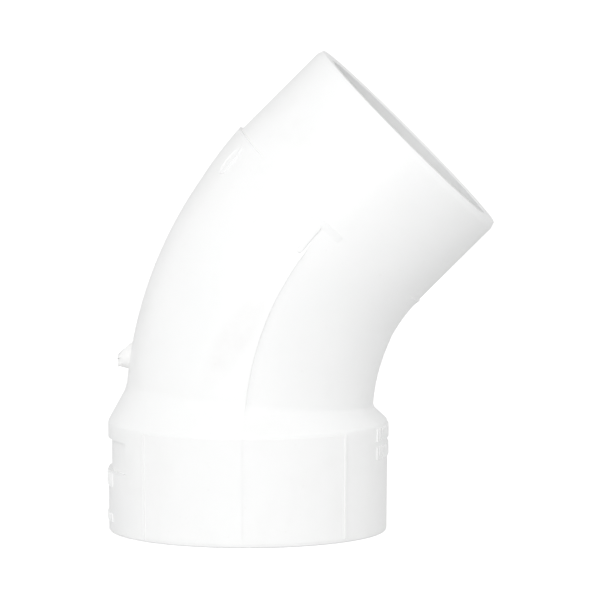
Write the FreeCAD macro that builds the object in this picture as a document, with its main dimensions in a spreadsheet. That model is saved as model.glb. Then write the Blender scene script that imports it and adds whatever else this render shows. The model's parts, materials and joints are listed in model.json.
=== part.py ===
"""45 degree street elbow for 3 in plastic drain pipe: a hub (socket) at one end, a spigot at the other.

The real fitting is one moulding. Each region of it is a solid of its own here, and the regions meet
face to face. The hub's axis is Z and its open rim lies at Z = 0, centred on the origin. The bend
turns towards +X, so -X is the outer side of the bend, +X its inner side, and -Y the front.
"""
import FreeCAD, Part
import os
import Sketcher

SIZES = (
    # pipe and hub
    ("pipe_od", 88.9, "outer diameter of the pipe, the bend and the spigot"),
    ("wall", 5.5, "wall of the bend and the spigot"),
    ("hub_wall", 6.2, "wall round the socket, at the shoulder's edge"),
    ("hub_draft", 0.35, "how much less the hub's radius is at the rim"),
    ("socket_depth", 38.1, "from the rim to the seat that stops the pipe"),
    ("socket_clearance", 0.15, "radial gap between the socket and a pipe"),
    ("socket_lead", 0.8, "chamfer at the socket's mouth"),
    ("rim_round", 0.7, "round on the rim's outer edge"),
    # shoulder
    ("edge_rise", 1.7, "from the seat up to the shoulder's edge"),
    ("edge_round", 2.0, "round on the shoulder's edge"),
    ("shoulder_rise", 8.6, "height of the cone from its edge to the bend"),
    # bend and spigot
    ("bend_lead", 2.1, "straight passage between the seat and the bend"),
    ("bend_radius", 107.5, "radius of the bend's centreline"),
    ("bend_angle", 45.0, "degrees"),
    ("spigot_length", 38.0, "straight tube after the bend"),
    ("tip_bevel_run", 2.3, "outer bevel at the spigot's tip, along the axis"),
    ("tip_bevel_depth", 0.8, "outer bevel at the spigot's tip, in radius"),
    ("bore_bevel", 0.5, "inner bevel at the spigot's tip"),
    # raised panels and the recess on the hub
    ("panel_span", 91.4, "degrees round the hub"),
    ("panel_rise", 0.35, "how far a panel stands out"),
    ("panel_foot", 1.3, "from the rim to a panel's lower edge"),
    ("panel_corner", 1.5, "round on a panel's lower corners"),
    ("recess_span", 62.0, "degrees round the hub"),
    ("recess_depth", 1.35, "below the shoulder edge's radius"),
    ("recess_foot", 22.8, "from the rim to the recess"),
    ("recess_height", 11.4, "height of the recess"),
    # mould seam
    ("seam_width", 0.8, "width of the seam along each side"),
    ("seam_rise", 0.3, "how far the seam stands out"),
    # pipe stops at the end of the bend
    ("stop_setback", 2.0, "from the stops to the straight tube"),
    ("side_stop_span", 24.0, "degrees round the tube"),
    ("side_stop_rise", 0.45, "height of a side stop"),
    ("side_stop_run", 4.0, "length over which a side stop fades out"),
    ("side_rib_width", 2.2, "rib that runs back from a side stop"),
    ("side_rib_length", 13.5, "rib that runs back from a side stop"),
    ("side_rib_rise", 0.9, "rib that runs back from a side stop"),
    ("side_rib_shift", 1.7, "from the seam to the rib's middle, to the outer side"),
    ("ledge_span", 93.0, "degrees round the tube, on the outer side"),
    ("ledge_rise", 1.0, "height of the outer stop"),
    ("ledge_run", 17.0, "length over which the outer stop fades out"),
    ("stop_tail_sink", 0.3, "depth of a stop's tail under the surface"),
    ("inner_stop_span", 50.0, "degrees round the tube, on the inner side"),
    ("inner_stop_rise", 0.45, "height of the inner stop"),
    ("inner_stop_run", 5.0, "length over which the inner stop fades out"),
    # oval bosses behind the outer stop
    ("boss_setback", 7.57, "from the stops back to a boss's middle"),
    ("boss_offset", 26.5, "degrees to each side of the outer line"),
    ("boss_length", 9.0, "length along the bend"),
    ("boss_width", 4.8, "width round the tube"),
    ("boss_rise", 0.55, "how far a boss stands out"),
    # stub of the moulding gate
    ("gate_height", 62.5, "height of the gate's middle above the rim"),
    ("gate_foot_radius", 5.2, "radius where the stub meets the bend"),
    ("gate_tip_radius", 2.1, "radius at its broken end"),
    ("gate_length", 4.4, "how far the stub stands out"),
    # plain raised mark rows
    ("mark_rise", 0.45, "how far a row of marks stands out"),
    ("mark_corner", 0.8, "round on the corners of a row"),
    ("mark_height", 4.7, "height of a row on the hub's inner side"),
    ("inner_row_span", 46.0, "degrees round the hub, inner side"),
    ("inner_row_drop", 0.9, "from the shoulder's edge down to the upper inner row"),
    ("inner_row_pitch", 6.6, "from the lower row to the upper one"),
    ("outer_row_span", 50.0, "degrees round the hub, outer side"),
    ("outer_upper_foot", 17.0, "from the rim to the row below the recess"),
    ("outer_lower_foot", 4.2, "from the rim to the row above the rim"),
    ("outer_lower_height", 3.0, "height of the row above the rim"),
    ("throat_row_span", 52.0, "degrees round the tube, inner side"),
    ("throat_row_place", 17.0, "place along the bend, degrees"),
    ("throat_row_height", 3.7, "height of the row along the bend"),
)

# Formulas of the sizes, in the sheet's own names.
PIPE_R = "(sizes.pipe_od / 2)"
FLOW_R = f"({PIPE_R} - sizes.wall)"
SOCKET_R = f"({PIPE_R} + sizes.socket_clearance)"
HUB_R = f"({SOCKET_R} + sizes.hub_wall)"
EDGE_Z = "(sizes.socket_depth + sizes.edge_rise)"
JOIN_Z = "(sizes.socket_depth + sizes.edge_rise / 3)"
BEND_Z = "(sizes.socket_depth + sizes.bend_lead)"
STOP_ANGLE = "(sizes.bend_angle - sizes.stop_setback / sizes.bend_radius * 180 / pi)"
UNDER_SKIN = "1"
INSIDE_WALL = "3"
ACROSS = FreeCAD.Vector(0, 1, 0)
UPRIGHT = FreeCAD.Vector(0, 0, 1)


def hub_radius(height):
    """Formula of the hub's outer radius at a height."""
    return f"({HUB_R} - sizes.hub_draft * (1 - ({height}) / {EDGE_Z}))"


doc = FreeCAD.newDocument("street_elbow")
sizes = doc.addObject("Spreadsheet::Sheet", "sizes")
for row, (alias, number, note) in enumerate(SIZES, start=1):
    sizes.set(f"A{row}", alias)
    sizes.set(f"B{row}", str(number))
    sizes.set(f"C{row}", note)
    sizes.setAlias(f"B{row}", alias)
doc.recompute()


def turned(axis, angle):
    """Placement at the origin, turned about an axis."""
    return FreeCAD.Placement(FreeCAD.Vector(0, 0, 0), FreeCAD.Rotation(axis, angle))


# Sketches ------------------------------------------------------------------------------------

def new_sketch(body, name, role, height="0"):
    """Empty sketch on one of the body's own planes, moved along the plane's normal."""
    plane = next(face for face in body.Origin.OriginFeatures if face.Role == role)
    sketch = body.newObject("Sketcher::SketchObject", name)
    sketch.AttachmentSupport = [(plane, "")]
    sketch.MapMode = "FlatFace"
    if height != "0":
        sketch.setExpression("AttachmentOffset.Base.z", height)
    return sketch


def bind_point(sketch, line, end, across, up):
    """Ties one point of a sketch to two formulas."""
    for kind, axis, formula in (("DistanceX", -2, across), ("DistanceY", -1, up)):
        if formula == "0":
            sketch.addConstraint(Sketcher.Constraint("PointOnObject", line, end, axis))
        else:
            value = float(sketch.evalExpression(formula))
            number = sketch.addConstraint(Sketcher.Constraint(kind, -1, 1, line, end, value))
            sketch.setExpression(f"Constraints[{number}]", formula)


def point_of(sketch, across, up):
    return FreeCAD.Vector(float(sketch.evalExpression(across)), float(sketch.evalExpression(up)), 0)


def draw_outline(sketch, corners):
    """Closed outline of straight lines through corners given as formulas."""
    points = [point_of(sketch, *corner) for corner in corners]
    count = len(points)
    lines = [sketch.addGeometry(Part.LineSegment(points[k], points[(k + 1) % count])) for k in range(count)]
    for k in range(count):
        sketch.addConstraint(Sketcher.Constraint("Coincident", lines[k], 2, lines[(k + 1) % count], 1))
        bind_point(sketch, lines[k], 1, *corners[k])


def draw_box(sketch, left, right, low, high):
    draw_outline(sketch, ((left, low), (right, low), (right, high), (left, high)))


def draw_circle(sketch, radius, across="0"):
    """Circle with its centre on the sketch's horizontal axis."""
    value = float(sketch.evalExpression(radius))
    circle = sketch.addGeometry(Part.Circle(point_of(sketch, across, "0"), UPRIGHT, value))
    bind_point(sketch, circle, 3, across, "0")
    number = sketch.addConstraint(Sketcher.Constraint("Radius", circle, value))
    sketch.setExpression(f"Constraints[{number}]", radius)


def draw_bend_axis(sketch):
    """Construction line on which the bend turns. It becomes the sketch's Axis0."""
    foot = point_of(sketch, "sizes.bend_radius", "0")
    line = sketch.addGeometry(Part.LineSegment(foot, foot + FreeCAD.Vector(0, 10, 0)), True)
    bind_point(sketch, line, 1, "sizes.bend_radius", "0")
    bind_point(sketch, line, 2, "sizes.bend_radius", "10")


# Features ------------------------------------------------------------------------------------

def new_body(label):
    body = doc.addObject("PartDesign::Body", label)
    body.Label = label
    return body


def turn_profile(body, kind, sketch, angle, axis="V_Axis", both_ways=False, back=False):
    """Revolution or Groove of a sketch about one of its own axes."""
    feature = body.newObject(f"PartDesign::{kind}", f"{sketch.Name}_turned")
    feature.Profile = sketch
    feature.ReferenceAxis = (sketch, [axis])
    feature.setExpression("Angle", angle)
    feature.Midplane = both_ways
    feature.Reversed = back
    doc.recompute()
    return feature


def push_profile(body, sketch, length, back=False):
    feature = body.newObject("PartDesign::Pad", f"{sketch.Name}_pushed")
    feature.Profile = sketch
    feature.setExpression("Length", length)
    feature.Reversed = back
    doc.recompute()
    return feature


def round_edges(body, name, wanted, radius):
    """Fillet on the edges of the body's last feature that pass a test."""
    base = body.Tip
    names = [f"Edge{k}" for k, edge in enumerate(base.Shape.Edges, start=1) if wanted(edge)]
    if not names:
        raise RuntimeError(f"{name}: no edge to round")
    fillet = body.newObject("PartDesign::Fillet", name)
    fillet.Base = (base, names)
    fillet.setExpression("Radius", radius)
    doc.recompute()


def is_circle_at(edge, radius, height):
    """Tests for a full circle about Z."""
    if not isinstance(edge.Curve, Part.Circle):
        return False
    return abs(edge.Curve.Radius - radius) < 0.01 and abs(edge.BoundBox.ZMax - height) < 0.01


def place_along_bend(thing, angle):
    """Puts an object's frame on the bend's centreline: its Z along the tube, its X to the inner side."""
    thing.Placement = turned(ACROSS, 1)
    thing.setExpression("Placement.Base.x", f"sizes.bend_radius * (1 - cos({angle}))")
    thing.setExpression("Placement.Base.z", f"{BEND_Z} + sizes.bend_radius * sin({angle})")
    thing.setExpression("Placement.Rotation.Angle", angle)


def mirror(label, source):
    """Copy of a front piece on the back, across the plane of the bend."""
    copy = doc.addObject("Part::Mirroring", label)
    copy.Label = label
    copy.Source = source
    copy.Normal = ACROSS
    doc.recompute()
    return copy


def cut(label, base, tool):
    """The base without the room that the tool takes, so that the two meet face to face."""
    result = doc.addObject("Part::Cut", label)
    result.Label = label
    result.Base = base
    result.Tool = tool
    doc.recompute()
    if result.Shape.Volume > 0.99 * base.Shape.Volume:
        raise RuntimeError(f"{label}: the cut took nothing away")
    return result


# Main walls ----------------------------------------------------------------------------------

def make_hub_socket():
    """Ring round the socket, with its rounded rim and the long recess on the outer side.

    Its top slopes outwards from the seat, so that the seat is a face of its own.
    """
    body = new_body("hub_socket")
    wall = new_sketch(body, "socket_wall", "XZ_Plane")
    draw_outline(wall, (
        (f"{SOCKET_R} + sizes.socket_lead", "0"),
        (hub_radius("0"), "0"),
        (hub_radius(JOIN_Z), JOIN_Z),
        (SOCKET_R, "sizes.socket_depth"),
        (SOCKET_R, "sizes.socket_lead"),
    ))
    turn_profile(body, "Revolution", wall, "360")
    rim = float(sizes.evalExpression(hub_radius("0")))
    round_edges(body, "rim_edge", lambda edge: is_circle_at(edge, rim, 0), "sizes.rim_round")
    whole = body.Shape.Volume
    recess = new_sketch(body, "recess", "XZ_Plane")
    draw_box(recess, f"-{HUB_R} - {UNDER_SKIN}", f"sizes.recess_depth - {HUB_R}",
             "sizes.recess_foot", "sizes.recess_foot + sizes.recess_height")
    turn_profile(body, "Groove", recess, "sizes.recess_span", both_ways=True)
    if body.Shape.Volume >= whole:
        raise RuntimeError("hub_socket: the recess cut nothing")
    return body


def make_bend():
    """Curved tube from the shoulder to the spigot."""
    body = new_body("bend")
    section = new_sketch(body, "bend_section", "XY_Plane", BEND_Z)
    draw_circle(section, PIPE_R)
    draw_circle(section, FLOW_R)
    draw_bend_axis(section)
    turn_profile(body, "Revolution", section, "sizes.bend_angle", axis="Axis0")
    return body


def make_spigot():
    """Straight tube with a bevelled tip, the size of the pipe."""
    body = new_body("spigot")
    wall = new_sketch(body, "spigot_wall", "XZ_Plane")
    draw_outline(wall, (
        (FLOW_R, "0"),
        (PIPE_R, "0"),
        (PIPE_R, "sizes.spigot_length - sizes.tip_bevel_run"),
        (f"{PIPE_R} - sizes.tip_bevel_depth", "sizes.spigot_length"),
        (f"{FLOW_R} + sizes.bore_bevel", "sizes.spigot_length"),
        (FLOW_R, "sizes.spigot_length - sizes.bore_bevel"),
    ))
    turn_profile(body, "Revolution", wall, "360")
    place_along_bend(body, "sizes.bend_angle")
    return body


def make_tube_core():
    """Solid room inside the outer skin of the bend. It trims what sits on that skin."""
    body = new_body("tube_core")
    section = new_sketch(body, "core_section", "XY_Plane", BEND_Z)
    draw_circle(section, PIPE_R)
    draw_bend_axis(section)
    turn_profile(body, "Revolution", section, "sizes.bend_angle", axis="Axis0")
    return body


def make_shoulder(core):
    """Seat that stops the pipe, and the cone from the hub's outer edge in to the bend."""
    slope = f"({HUB_R} - {PIPE_R}) / sizes.shoulder_rise"
    top = f"{EDGE_Z} + sizes.shoulder_rise + {UNDER_SKIN}"
    body = new_body("shoulder_blank")
    wall = new_sketch(body, "shoulder_wall", "XZ_Plane")
    draw_outline(wall, (
        (FLOW_R, "sizes.socket_depth"),
        (SOCKET_R, "sizes.socket_depth"),
        (hub_radius(JOIN_Z), JOIN_Z),
        (HUB_R, EDGE_Z),
        (f"{PIPE_R} - {UNDER_SKIN} * {slope}", top),
        (FLOW_R, top),
    ))
    turn_profile(body, "Revolution", wall, "360")
    edge_radius = float(sizes.evalExpression(HUB_R))
    edge_height = float(sizes.evalExpression(EDGE_Z))
    round_edges(body, "shoulder_edge", lambda edge: is_circle_at(edge, edge_radius, edge_height),
                "sizes.edge_round")
    return cut("shoulder", body, core)


# Skins on the hub ----------------------------------------------------------------------------

def make_hub_skin(label, turn, span, foot, top, rise, corner, corners_at):
    """Thin raised patch on the hub's drafted wall, centred on a direction and round at its corners."""
    body = new_body(label)
    profile = new_sketch(body, f"{label}_profile", "XZ_Plane")
    draw_outline(profile, (
        (hub_radius(foot), foot),
        (f"{hub_radius(foot)} + {rise}", foot),
        (f"{hub_radius(top)} + {rise}", top),
        (hub_radius(top), top),
    ))
    turn_profile(body, "Revolution", profile, span, both_ways=True)
    heights = [float(sizes.evalExpression(formula)) for formula in corners_at]
    round_edges(body, f"{label}_corners", lambda edge: is_radial_at(edge, heights), corner)
    body.Placement = turned(UPRIGHT, turn)
    return body


def is_radial_at(edge, heights):
    """Tests for a straight level edge at one of the heights."""
    box = edge.BoundBox
    level = isinstance(edge.Curve, Part.Line) and box.ZLength < 0.001
    return level and any(abs(box.ZMin - height) < 0.001 for height in heights)


def make_panels():
    top = f"{EDGE_Z} - sizes.edge_round / 2"
    return [make_hub_skin(label, turn, "sizes.panel_span", "sizes.panel_foot", top,
                          "sizes.panel_rise", "sizes.panel_corner", ("sizes.panel_foot",))
            for label, turn in (("hub_panel_front", -90), ("hub_panel_back", 90))]


def make_hub_marks():
    upper = f"({EDGE_Z} - sizes.inner_row_drop - sizes.mark_height)"
    lower = f"({upper} - sizes.inner_row_pitch)"
    gap_foot = "sizes.recess_foot - sizes.outer_upper_foot"
    rows = (
        ("mark_row_inner_lower", 0, "sizes.inner_row_span", lower, "sizes.mark_height"),
        ("mark_row_inner_upper", 0, "sizes.inner_row_span", upper, "sizes.mark_height"),
        ("mark_row_outer_lower", 180, "sizes.outer_row_span", "sizes.outer_lower_foot",
         "sizes.outer_lower_height"),
        ("mark_row_outer_upper", 180, "sizes.outer_row_span", "sizes.outer_upper_foot",
         f"({gap_foot} - sizes.mark_corner)"),
    )
    return [make_hub_skin(label, turn, span, foot, f"{foot} + {height}", "sizes.mark_rise",
                          "sizes.mark_corner", (foot, f"{foot} + {height}"))
            for label, turn, span, foot, height in rows]


# Stops, seams and marks on the tube ----------------------------------------------------------

def add_arc_stop(body, name, role, side, span, rise, run):
    """Stop that is square at the body's own level and fades out over its run below it.

    It is centred on the plane's own horizontal axis, on its positive or negative side.
    """
    wedge = new_sketch(body, name, role)
    draw_outline(wedge, (
        (f"{side} * ({PIPE_R} - {UNDER_SKIN})", "0"),
        (f"{side} * ({PIPE_R} + {rise})", "0"),
        (f"{side} * ({PIPE_R} - sizes.stop_tail_sink)", f"-{run}"),
        (f"{side} * ({PIPE_R} - {UNDER_SKIN})", f"-{run}"),
    ))
    turn_profile(body, "Revolution", wedge, span, both_ways=True)


def add_bend_rib(body, name, width, rise, angle, height="0", shift="0", back=False):
    """Rib along the front of the bend, from the body's own level on."""
    section = new_sketch(body, name, "XY_Plane", height)
    draw_box(section, f"-{width} / 2 - {shift}", f"{width} / 2 - {shift}",
             f"-({PIPE_R} + {rise})", f"{UNDER_SKIN} - {PIPE_R}")
    draw_bend_axis(section)
    turn_profile(body, "Revolution", section, angle, axis="Axis0", back=back)


def make_side_stop(core):
    """Arc across the front of the tube, with a round-ended rib that runs back along the bend."""
    body = new_body("side_stop_blank")
    add_arc_stop(body, "side_arc", "YZ_Plane", -1, "sizes.side_stop_span",
                 "sizes.side_stop_rise", "sizes.side_stop_run")
    add_bend_rib(body, "side_rib", "sizes.side_rib_width", "sizes.side_rib_rise",
                 "sizes.side_rib_length / sizes.bend_radius * 180 / pi",
                 shift="sizes.side_rib_shift", back=True)
    reach = float(sizes.evalExpression("sizes.side_rib_length - 1"))
    round_edges(body, "side_rib_end", lambda edge: is_across_below(edge, -reach),
                "sizes.side_rib_width * 0.45")
    place_along_bend(body, STOP_ANGLE)
    return cut("side_stop_front", body, core)


def is_across_below(edge, height):
    """Tests for a straight edge along Y below a height."""
    box = edge.BoundBox
    return box.ZMax < height and box.XLength < 0.001 and box.ZLength < 0.001


def make_seam(core, shoulder):
    """Mould seam along the front of the bend, from the shoulder to the side stop's rib."""
    body = new_body("seam_blank")
    angle = f"{STOP_ANGLE} - sizes.side_rib_length / sizes.bend_radius * 180 / pi"
    add_bend_rib(body, "seam_rib", "sizes.seam_width", "sizes.seam_rise", angle, BEND_Z)
    return cut("seam_front", cut("seam_on_tube", body, core), shoulder)


def make_outer_ledge(core):
    """Wide stop on the outer side. Its section is a smaller circle, moved out, that fades into the bend."""
    shift = "(sizes.ledge_rise / (1 - cos(sizes.ledge_span / 2)))"
    radius = f"({PIPE_R} + sizes.ledge_rise - {shift})"
    skin_radius = f"(sizes.bend_radius + {PIPE_R})"
    turn = f"(sizes.ledge_run / {skin_radius} * 180 / pi)"
    tail_skin = f"({skin_radius} * cos({turn}) - sizes.bend_radius)"
    body = new_body("outer_stop_blank")
    face = new_sketch(body, "ledge_face", "XY_Plane")
    draw_circle(face, radius, f"-{shift}")
    tail = new_sketch(body, "ledge_tail", "XY_Plane", f"-{skin_radius} * sin({turn})")
    draw_circle(tail, radius, f"{radius} + sizes.stop_tail_sink - {tail_skin}")
    loft = body.newObject("PartDesign::AdditiveLoft", "ledge_loft")
    loft.Profile = face
    loft.Sections = [tail]
    loft.Ruled = True
    doc.recompute()
    place_along_bend(body, STOP_ANGLE)
    return cut("outer_stop", body, core)


def make_inner_stop(core):
    body = new_body("inner_stop_blank")
    add_arc_stop(body, "inner_arc", "XZ_Plane", 1, "sizes.inner_stop_span",
                 "sizes.inner_stop_rise", "sizes.inner_stop_run")
    place_along_bend(body, STOP_ANGLE)
    return cut("inner_stop", body, core)


def make_boss(core):
    """Oval boss on the skin of the bend, to the front of its outer line."""
    body = new_body("boss_blank")
    oval = new_sketch(body, "boss_oval", "YZ_Plane")
    oval.AttachmentOffset = turned(ACROSS, 1)
    oval.setExpression("AttachmentOffset.Rotation.Angle", "180 + sizes.boss_offset")
    draw_box(oval, "-sizes.boss_width / 2", "sizes.boss_width / 2",
             "-sizes.boss_length / 2", "sizes.boss_length / 2")
    push_profile(body, oval, f"{PIPE_R} + sizes.boss_rise")
    reach = float(sizes.evalExpression(PIPE_R))
    round_edges(body, "boss_ends", lambda edge: edge.Length > reach, "sizes.boss_width * 0.48")
    setback = "(sizes.stop_setback + sizes.boss_setback)"
    place_along_bend(body, f"(sizes.bend_angle - {setback} / sizes.bend_radius * 180 / pi)")
    return cut("outer_boss_front", body, core)


def make_throat_mark(core):
    """Row of marks across the inner side of the bend, low on it."""
    body = new_body("throat_mark_blank")
    row_profile = new_sketch(body, "throat_profile", "XZ_Plane")
    draw_box(row_profile, f"{PIPE_R} - {UNDER_SKIN}", f"{PIPE_R} + sizes.mark_rise",
             "-sizes.throat_row_height / 2", "sizes.throat_row_height / 2")
    turn_profile(body, "Revolution", row_profile, "sizes.throat_row_span", both_ways=True)
    ends = [side * float(sizes.evalExpression("sizes.throat_row_height / 2")) for side in (-1, 1)]
    round_edges(body, "throat_corners", lambda edge: is_radial_at(edge, ends), "sizes.mark_corner")
    place_along_bend(body, "sizes.throat_row_place")
    return cut("mark_row_throat", body, core)


def make_gate_stub(core):
    """Broken stub where the plastic came in, pointing level out of the bend's outer side."""
    skin = (f"(sqrt((sizes.bend_radius + {PIPE_R}) ^ 2 - (sizes.gate_height - {BEND_Z}) ^ 2)"
            " - sizes.bend_radius)")
    taper = "(sizes.gate_foot_radius - sizes.gate_tip_radius) / sizes.gate_length"
    cone = doc.addObject("Part::Cone", "gate_cone")
    cone.setExpression("Radius1", f"sizes.gate_foot_radius + {INSIDE_WALL} * {taper}")
    cone.setExpression("Radius2", "sizes.gate_tip_radius")
    cone.setExpression("Height", f"{INSIDE_WALL} + sizes.gate_length")
    cone.Placement = turned(ACROSS, -90)
    cone.setExpression("Placement.Base.x", f"{INSIDE_WALL} - {skin}")
    cone.setExpression("Placement.Base.z", "sizes.gate_height")
    doc.recompute()
    return cut("gate_stub", cone, core)


def make_fitting():
    """All the sub-parts, from the rim to the tip."""
    core = make_tube_core()
    shoulder = make_shoulder(core)
    parts = [make_hub_socket(), shoulder, make_bend(), make_spigot()]
    parts += make_panels()
    parts += make_hub_marks()
    for front_piece in (make_seam(core, shoulder), make_side_stop(core), make_boss(core)):
        parts += [front_piece, mirror(front_piece.Label.replace("front", "back"), front_piece)]
    parts += [make_outer_ledge(core), make_inner_stop(core), make_throat_mark(core), make_gate_stub(core)]
    return parts


def check(parts):
    """Stops before anything is written if a feature or a solid failed."""
    doc.recompute()
    for thing in doc.Objects:
        if "Invalid" in thing.State or "Error" in thing.State:
            raise RuntimeError(f"{thing.Label}: {thing.State}")
    for part in parts:
        if part.Shape.isNull() or not part.Shape.isValid() or len(part.Shape.Solids) != 1:
            raise RuntimeError(f"{part.Label}: not one valid solid")


sub_parts = make_fitting()
check(sub_parts)
os.makedirs("parts", exist_ok=True)
for sub_part in sub_parts:
    sub_part.Shape.exportStep(f"parts/{sub_part.Label}.step")
    print(f"{sub_part.Label}: {sub_part.Shape.Volume:.1f} mm3")
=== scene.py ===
# %% [markdown]
# # A white plastic street elbow
# The fitting is one moulding: a hub that takes a pipe, a bend, and a spigot that goes into the next
# fitting. The CAD model comes in first as a fixed frame. Every size and place below is read from it,
# so the looks and the working part can't drift apart.

# %% The frame
import json
import math
import bmesh
import bpy
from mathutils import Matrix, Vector


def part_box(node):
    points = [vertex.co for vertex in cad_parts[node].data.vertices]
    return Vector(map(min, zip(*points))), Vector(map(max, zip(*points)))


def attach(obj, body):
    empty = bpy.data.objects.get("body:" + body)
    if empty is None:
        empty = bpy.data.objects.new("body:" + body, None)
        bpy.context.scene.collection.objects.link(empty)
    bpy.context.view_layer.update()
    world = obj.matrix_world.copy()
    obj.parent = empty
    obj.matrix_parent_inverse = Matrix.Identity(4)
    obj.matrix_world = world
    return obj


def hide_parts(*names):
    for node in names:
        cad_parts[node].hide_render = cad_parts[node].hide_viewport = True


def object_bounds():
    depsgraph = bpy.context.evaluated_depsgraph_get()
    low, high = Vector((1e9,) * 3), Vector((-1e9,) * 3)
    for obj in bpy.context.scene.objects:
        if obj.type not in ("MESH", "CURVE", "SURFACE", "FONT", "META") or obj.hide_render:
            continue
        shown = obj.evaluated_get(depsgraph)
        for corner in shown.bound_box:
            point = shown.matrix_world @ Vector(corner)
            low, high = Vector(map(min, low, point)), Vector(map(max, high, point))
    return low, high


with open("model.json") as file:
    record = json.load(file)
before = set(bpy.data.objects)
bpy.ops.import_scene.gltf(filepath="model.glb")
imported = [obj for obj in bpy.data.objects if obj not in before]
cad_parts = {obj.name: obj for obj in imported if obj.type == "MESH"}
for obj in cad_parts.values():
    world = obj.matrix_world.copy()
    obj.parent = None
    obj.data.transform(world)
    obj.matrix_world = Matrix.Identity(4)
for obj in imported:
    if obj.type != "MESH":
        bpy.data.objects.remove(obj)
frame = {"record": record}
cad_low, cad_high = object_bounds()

print("CAD box from", tuple(cad_low), "to", tuple(cad_high))

# %% [markdown]
# The fitting's own sizes come from the mounts and the boxes of the CAD nodes. The bend is an arc
# round a centre out on +X. Its radius follows from how far its end reaches, because the end leans by
# the bend's angle. Small mould details that no box gives are plain numbers in millimetres.

# %% Sizes of the fitting
mm = 0.001
wall = 5.5 * mm
hub_draft = 0.35 * mm
edge_rise = 1.7 * mm
shoulder_rise = 8.6 * mm
tip_bevel_depth = 0.8 * mm
tip_bevel_run = 2.3 * mm
bore_bevel = 0.5 * mm
socket_lead = 0.8 * mm
stop_setback = 2 * mm

mounts = {mount["name"]: mount for mount in frame["record"]["mounts"]}
spigot_axis = Vector(mounts["spigot"]["axis"])
turn = math.atan2(spigot_axis.x, spigot_axis.z)

pipe_radius = mounts["spigot"]["dims"]["r_mm"] * mm
flow_radius = pipe_radius - wall
socket_radius = mounts["hub_socket"]["dims"]["r_mm"] * mm
seat_height = mounts["pipe_seat"]["pos_m"][2]
hub_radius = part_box("shoulder")[1].x
rim_radius = hub_radius - hub_draft
edge_height = seat_height + edge_rise
shoulder_top = edge_height + shoulder_rise

bend_low, bend_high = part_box("bend")
bend_foot = bend_low.z
bend_radius = (bend_high.x - pipe_radius * math.cos(turn)) / (1 - math.cos(turn))
bend_length = bend_radius * turn
spigot_foot = bend_foot + bend_length
spigot_length = (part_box("spigot")[1].z - bend_foot - bend_radius * math.sin(turn)
                 - (pipe_radius - tip_bevel_depth) * math.sin(turn)) / math.cos(turn)
tip_height = spigot_foot + spigot_length
stop_height = spigot_foot - stop_setback
print(f"pipe radius {pipe_radius / mm:.2f} mm, bend radius {bend_radius / mm:.1f} mm")
print(f"bend {math.degrees(turn):.1f} degrees, spigot {spigot_length / mm:.1f} mm")


def hub_radius_at(height):
    """The hub's wall leans in a little towards the rim, so that the mould lets go of it."""
    return hub_radius - (hub_radius - rim_radius) * (1 - height / edge_height)


# %% [markdown]
# ## Helpers for modelling
# Edit-mode tools act on everything that is selected, so each step first clears the selection and
# then picks vertices, edges or faces by where they are. A person does the same with the mouse.

# %% Starting a piece
def start_piece(name):
    """Names the primitive that was just added, and leaves only that selected."""
    piece = bpy.context.active_object
    piece.name = name
    piece.data.name = name
    return piece


def clear_selection():
    if bpy.context.mode != "OBJECT":
        bpy.ops.object.mode_set(mode="OBJECT")
    bpy.ops.object.select_all(action="DESELECT")


def edit(piece, kind="VERT"):
    """Opens one piece in edit mode."""
    clear_selection()
    piece.select_set(True)
    bpy.context.view_layer.objects.active = piece
    bpy.ops.object.mode_set(mode="EDIT")
    bpy.ops.mesh.select_mode(type=kind)


def pick(piece, kind, wanted):
    """Selects the verts, edges or faces of the open piece that pass a test."""
    bpy.ops.mesh.select_all(action="DESELECT")
    work = bmesh.from_edit_mesh(piece.data)
    found = [item for item in getattr(work, kind) if wanted(item)]
    for item in found:
        item.select_set(True)
    work.select_flush_mode()
    bmesh.update_edit_mesh(piece.data)
    return len(found)


# %% Places round the axis
def around(point):
    """Distance from the axis, and direction in degrees: 0 is the inner side, -90 the front."""
    return math.hypot(point.x, point.y), math.degrees(math.atan2(point.y, point.x))


def on_ring(radius, height, slack=0.02 * mm):
    """Test for the edges of one ring round the axis."""
    def wanted(edge):
        return all(abs(around(vert.co)[0] - radius) < slack and abs(vert.co.z - height) < slack
                   for vert in edge.verts)
    return wanted


def close_mesh(piece):
    """Merges doubles and turns all faces outwards."""
    edit(piece)
    bpy.ops.mesh.select_all(action="SELECT")
    bpy.ops.mesh.remove_doubles(threshold=0.002 * mm)
    bpy.ops.mesh.normals_make_consistent(inside=False)
    clear_selection()


# %% [markdown]
# ## Bending
# A bent tube is hard to edit, and a straight one is easy. So every piece on the bend is modelled on
# a straight tube, and a Simple Deform modifier bends it at the end. The modifier's origin is an
# empty at the foot of the bend, and its limits keep the hub and the spigot straight.

# %% Bend a straight piece
def bend_piece(piece):
    heights = [vert.co.z for vert in piece.data.vertices]
    low, high = min(heights), max(heights)
    first = min(max(low, bend_foot), high)
    last = max(min(high, spigot_foot), low)
    clear_selection()
    bpy.ops.object.empty_add(location=(0, 0, bend_foot))
    pivot = bpy.context.active_object
    clear_selection()
    piece.select_set(True)
    bpy.context.view_layer.objects.active = piece
    deform = piece.modifiers.new("bend", "SIMPLE_DEFORM")
    deform.deform_method = "BEND"
    deform.deform_axis = "Y"
    deform.origin = pivot
    deform.angle = (last - first) / bend_radius
    deform.limits = ((first - low) / (high - low), (last - low) / (high - low))
    bpy.ops.object.modifier_apply(modifier="bend")
    bpy.data.objects.remove(pivot)
    print(f"{piece.name}: bent over {(last - first) / mm:.1f} mm of its length")


# %% Finish a piece
made = []


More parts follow.
